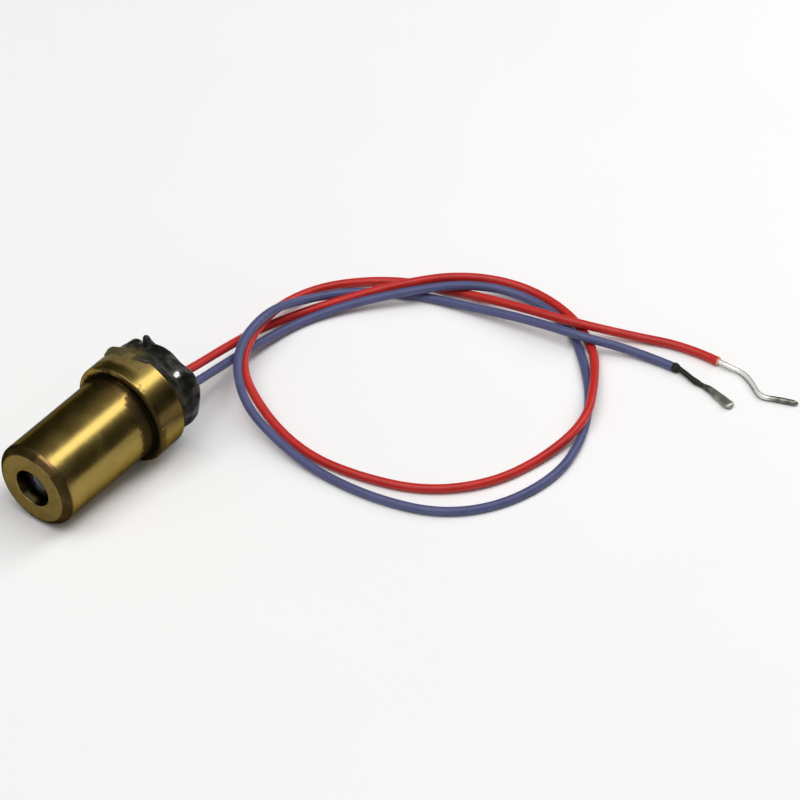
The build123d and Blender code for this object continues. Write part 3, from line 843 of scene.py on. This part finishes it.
def potting_skin():
    """Epoxy skin round the beam, from a film on the collar's rim over a rounded wall to the middle of the
    rear. The film follows the rim's rear face, chamfer and side to an uneven edge and thickens towards the
    wall. The outer face then stands off along its normal by smooth noise, a groove behind the rim, bulges
    that fall off as exp(-d^2), and a rise round each lead."""
    sides, under_rings, film_rings, round_rings, wall_rings = 320, 7, 24, 12, 96
    middle_ring = 0.02
    angle = np.arange(sides) * TURN / sides
    wall_circle = potting_radius * np.stack([np.cos(angle), np.sin(angle), 0 * angle], axis=1)
    rear_face = collar_radius - collar_chamfer - stem_bore_radius
    chamfer_end = rear_face + 2**0.5 * collar_chamfer
    side_run, bend = 1, 0.06
    rim_lengths = [0, rear_face, chamfer_end, chamfer_end + side_run]
    rim_radii = [stem_bore_radius, collar_radius - collar_chamfer, collar_radius, collar_radius]
    rim_heights = [0, 0, collar_chamfer, collar_chamfer + side_run]
    lean_lengths = [rear_face - bend, rear_face + bend, chamfer_end - bend, chamfer_end + bend]
    leans = np.radians([-90, -45, -45, 0])

    def on_rim(places, thickness):
        """Radii and heights of points so far along the rim's section and so thick off it."""
        lean = np.interp(places, lean_lengths, leans)
        return (np.interp(places, rim_lengths, rim_radii) + thickness * np.cos(lean),
                np.interp(places, rim_lengths, rim_heights) + thickness * np.sin(lean))

    facing = np.cos(angle - radians(film_angle))
    covered = smooth_step(facing, 0.7, 0.88)
    crept = film_creep * smooth_step(facing, 0.75, 0.95) - film_shortfall * (1 - covered)
    fray = uneven(wall_circle, "film_edge") * (film_least_fray + (1 - film_least_fray) * covered)
    foot = np.maximum(chamfer_end + film_run + crept + fray, rear_face + film_least_run)
    under_share = np.linspace(0, 1, under_rings, endpoint=False)[:, None]
    under_radius, under_height = on_rim(foot * under_share, -film_sunk)
    over_share = np.linspace(0, 1, film_rings)[:, None]
    edge_round = 1 - np.exp(-over_share / film_edge_share)
    film = film_thickness * edge_round * (1 + uneven(wall_circle, "film"))
    film = film + film_fillet * over_share**3 - film_sunk
    wall_start = potting_radius - stem_bore_radius
    film_radius, film_height = on_rim(foot + (wall_start - foot) * over_share, film)

    arc = np.linspace(0, np.pi / 2, round_rings)
    wall_section = np.concatenate([
        [(potting_radius, wall_top)],
        np.column_stack([
            potting_radius - potting_round + potting_round * np.cos(arc),
            potting_rear + potting_round - potting_round * np.sin(arc),
        ]),
        [(middle_ring, potting_rear)],
    ])
    wall = even_profile(wall_section, wall_rings)[:, :, None] * np.ones_like(angle)
    outer_radius = smoothed(np.concatenate([film_radius, wall[:, 0]]))
    outer_height = smoothed(np.concatenate([film_height, wall[:, 1]]))
    along_radius, along_height = np.gradient(outer_radius, axis=0), np.gradient(outer_height, axis=0)
    along_length = np.hypot(along_radius, along_height)
    normal_radius, normal_height = -along_height / along_length, along_radius / along_length

    across, up = outer_radius * np.cos(angle), outer_radius * np.sin(angle)
    skin = np.stack([across, up, outer_height], axis=-1)
    stand = uneven(skin, "skin")
    stand = stand - groove_depth * np.exp(-(((outer_height - groove_height) / groove_spread) ** 2))
    for bulge_angle, bulge_height, rise, spread in bulges:
        lean = radians(bulge_angle)
        middle = (potting_radius * cos(lean), potting_radius * sin(lean), bulge_height)
        distance = np.linalg.norm(skin - middle, axis=-1)
        stand = stand + rise * np.exp(-((distance / spread) ** 2))
    for place in (red_lead_place, blue_lead_place):
        distance = np.hypot(across - place[0], up - place[1])
        stand = stand + lead_rise * np.exp(-((distance / lead_rise_spread) ** 2))
    grown = np.concatenate([smooth_step(over_share, 0.0, 0.7), np.ones((wall_rings, 1))])
    off_middle = smooth_step(outer_radius, 0.0, 0.5)
    skin_radius = outer_radius + stand * normal_radius * grown * off_middle
    skin_height = outer_height + stand * normal_height * grown

    plug_radius = np.array([middle_ring, stem_bore_radius - film_sunk])[:, None] * np.ones_like(angle)
    plug_height = np.full_like(plug_radius, stem_rear - film_sunk)
    radius = np.concatenate([plug_radius, under_radius, skin_radius])
    height = np.concatenate([plug_height, under_height, skin_height])
    rings = module_point(radius * np.cos(angle), radius * np.sin(angle), height)
    piece = make_piece("epoxy_potting", rings, finishes["black_epoxy"])
    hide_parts("potting")


def potting_stub():
    """Stub of epoxy that stands out of the skin: circles along a path that turns round the beam, wide at the
    foot, with a tip that closes as the root of 1 - t^2."""
    share = np.linspace(0, 1, 40)
    reach = stub_foot_reach + stub_length * share
    turn = radians(stub_angle) - radians(stub_foot_turn) * (1 - share) ** 1.5
    height = stub_foot_height - stub_lean * share
    path = module_point(reach * np.cos(turn), reach * np.sin(turn), height)
    half = stub_foot_half - stub_taper * smooth_step(share, 0.1, 0.85)
    half = half * round_tip(share, 0.8, 0.995)
    rings = swept(path, half, half, sides=40)
    rings = swollen(rings, path, 1 + uneven(rings, "stub"))
    make_piece("epoxy_stub", rings, finishes["black_epoxy"])


def lead(name, slot, place, straight_height, route_points):
    """Insulated lead: a round bevel on the NURBS curve of its route, a little uneven in thickness."""
    start = module_point(*place, lead_joint_height)
    straight_end = module_point(*place, straight_height)
    curve = route_curve(name, [start, straight_end, *np.array(route_points)])
    curve.bevel_depth = lead_radius * MM
    curve.bevel_resolution = 8
    curve.use_fill_caps = True
    points = curve.splines[0].points
    points.foreach_set("radius", 1 + lead_unevenness * np.sin(lead_uneven_step * np.arange(len(points))))
    curve.materials.append(finishes[slot])
    return place_piece(bpy.data.objects.new(name, curve))


def bare_route(route_points, bare_straight, bare_points):
    """Route of a bare end: straight on from its lead's last run, then along its own points."""
    end = np.array(route_points[-1])
    direction = unit(end - np.array(route_points[-2]))
    straight = [end - bare_root * direction, end, end + bare_straight * direction]
    return end, direction, [*straight, *np.array(bare_points)]


def red_end():
    """Cut lip of the red insulation, and the bright conductor: circles with a faint twist of strands,
    r * (1 + e cos n(a - t)), closed by a round tip."""
    end, direction, route = bare_route(red_route_points, red_bare_straight, red_bare_points)
    lip_rings = turned(rounded_loop(red_lip_corners), end, direction, sides=64)
    lip_rings = swollen(lip_rings, lip_rings.mean(axis=1), 1 + uneven(lip_rings, "red_lip"))
    lip = make_piece("red_lead_lip", lip_rings, red_lip_finish(end, direction), loop=True)

    sides = 42
    path = spline_points(route)
    share = np.linspace(0, 1, len(path))
    rings = swept(path, np.ones(len(path)), np.ones(len(path)), sides)
    angle = np.arange(sides) * TURN / sides
    strands = 1 + strand_depth * np.cos(strand_count * (angle - strand_twist * share[:, None]))
    along = 1 + uneven(path, "red_wire") + red_tip_swell * smooth_step(share, 0.74, 0.9)
    size = red_conductor_radius * strands * (along * round_tip(share, 0.965, 0.998))[:, None]
    rings = swollen(rings, path, size)
    wire = make_piece("red_tinned_end", rings, bright_tin(path[-1]))
    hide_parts("red_bare_end")
    return [lip, wire]


def blue_end():
    """Scorched end of the blue insulation, and the dull conductor: an ellipse that runs from a lumpy round
    neck to a flat, nearly rectangular tip."""
    end, direction, route = bare_route(blue_route_points, blue_bare_straight, blue_bare_points)
    scorch_place = np.linspace(*scorch_reach, 36)
    scorch_path = end + scorch_place[:, None] * direction
    scorch_half = scorch_radius + scorch_swell * smooth_step(scorch_place, -0.14, -0.04)
    scorch_half = scorch_half - scorch_taper * smooth_step(scorch_place, 0.1, 0.52)
    scorch_rings = swept(scorch_path, scorch_half, scorch_half, sides=48)
    scorch_rings = swollen(scorch_rings, scorch_path, 1 + uneven(scorch_rings, "scorch"))
    scorch = make_piece("blue_lead_scorch", scorch_rings, finishes["scorched_insulation"])

    path = spline_points(route)
    share = np.linspace(0, 1, len(path))
    flat = smooth_step(share, 0.58, 1.04)
    neck = blue_conductor_radius * (1 + uneven(path, "blue_neck"))
    tip = round_tip(share, 0.975, 0.97)
    half_width = (neck + (blue_tip_half_width - neck) * flat) * tip
    half_height = (neck + (blue_tip_half_thickness - neck) * flat) * tip
    rings = swept(path, half_width, half_height, sides=48, squareness=1 - (1 - blue_tip_squareness) * flat)
    rings = swollen(rings, path, 1 + uneven(rings, "blue_wire"))
    wire = make_piece("blue_tinned_end", rings, dull_tin(end, unit(path[-1] - end)))
    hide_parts("blue_bare_end")
    return [scorch, wire]


def leads():
    """Both leads with what is on them."""
    red = lead("red_lead_insulation", "red_insulation", red_lead_place, red_straight_height, red_route_points)
    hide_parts("red_lead")
    red_end()
    blue = lead("blue_lead_insulation", "blue_insulation", blue_lead_place, blue_straight_height,
                blue_route_points)
    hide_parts("blue_lead")
    blue_end()


def dress_inner_nodes():
    """The pieces inside keep their own meshes and get the finish of their slot."""
    for subpart in frame["record"]["subparts"]:
        finish = finishes.get(subpart["material_slot"])
        if finish:
            materials = frame["nodes"][subpart["node"]].data.materials
            materials.clear()
            materials.append(finish)


# Stage, light and camera; the floor and the lamps are in metres

def floor():
    """Pale plain floor, one square at the height of the part's lowest point."""
    half = 1.5
    mesh = bpy.data.meshes.new("floor")
    corners = [(-half, -half, 0), (half, -half, 0), (half, half, 0), (-half, half, 0)]
    mesh.from_pydata(corners, [], [(0, 1, 2, 3)])
    mesh.materials.append(finishes["pale_floor"])
    made = bpy.data.objects.new("floor", mesh)
    bpy.context.scene.collection.objects.link(made)


def area_light(name, direction, distance, size, power, aim):
    """Rectangular lamp in a direction from its aim, with its second side near the y axis."""
    lamp = bpy.data.lights.new(name, "AREA")
    lamp.shape = "RECTANGLE"
    lamp.size, lamp.size_y = size
    lamp.energy = power
    made = bpy.data.objects.new(name, lamp)
    back = Vector(direction).normalized()
    right = Vector((0, 1, 0)).cross(back).normalized()
    up = back.cross(right)
    turn = Matrix((right, up, back)).transposed().to_4x4()
    made.matrix_world = Matrix.Translation(Vector(aim) + back * distance) @ turn
    bpy.context.scene.collection.objects.link(made)


def surroundings():
    """Dim studio that grows brighter overhead and towards the front."""
    brightest = (0.1, -0.6, 0.79)
    dim_strength, bright_strength = 0.04, 0.45
    world = bpy.data.worlds.new("studio")
    world.use_nodes = True
    tree = world.node_tree
    facing = measure(tree, "DOT_PRODUCT", add_node(tree, "TexCoord").outputs["Generated"], brightest)
    strength = blend_range(tree, facing, 0.1, 0.95, dim_strength, bright_strength)
    background = tree.nodes["Background"]
    background.inputs["Color"].default_value = (1.0, 0.985, 0.96, 1.0)
    tree.links.new(strength, background.inputs["Strength"])
    bpy.context.scene.world = world


def camera():
    """Camera at the photograph's angle, in front of the part, above it and to its right."""
    azimuth, elevation = radians(camera_azimuth), radians(camera_elevation)
    back = Vector((sin(azimuth) * cos(elevation), -cos(azimuth) * cos(elevation), sin(elevation)))
    data = bpy.data.cameras.new("camera")
    data.lens = camera_lens
    data.clip_start = 0.01
    made = bpy.data.objects.new("camera", data)
    made.location = (Vector(camera_aim) + back * camera_distance) * MM
    made.rotation_mode = "QUATERNION"
    made.rotation_quaternion = (-back).to_track_quat("-Z", "Y")
    bpy.context.scene.collection.objects.link(made)
    bpy.context.scene.camera = made


housing()
lens()
potting_skin()
potting_stub()
leads()
dress_inner_nodes()
floor()
surroundings()
area_light("key_strip", direction=(0.257, 0.594, 0.763), distance=0.25, size=(0.09, 0.32), power=0.36,
           aim=rear_centre * MM)
area_light("soft_box", direction=(0.0, -0.3, 0.95), distance=0.4, size=(0.34, 0.34), power=0.95,
           aim=(0.012, 0.012, 0.0))
camera()
bpy.context.scene.view_settings.view_transform = "Standard"
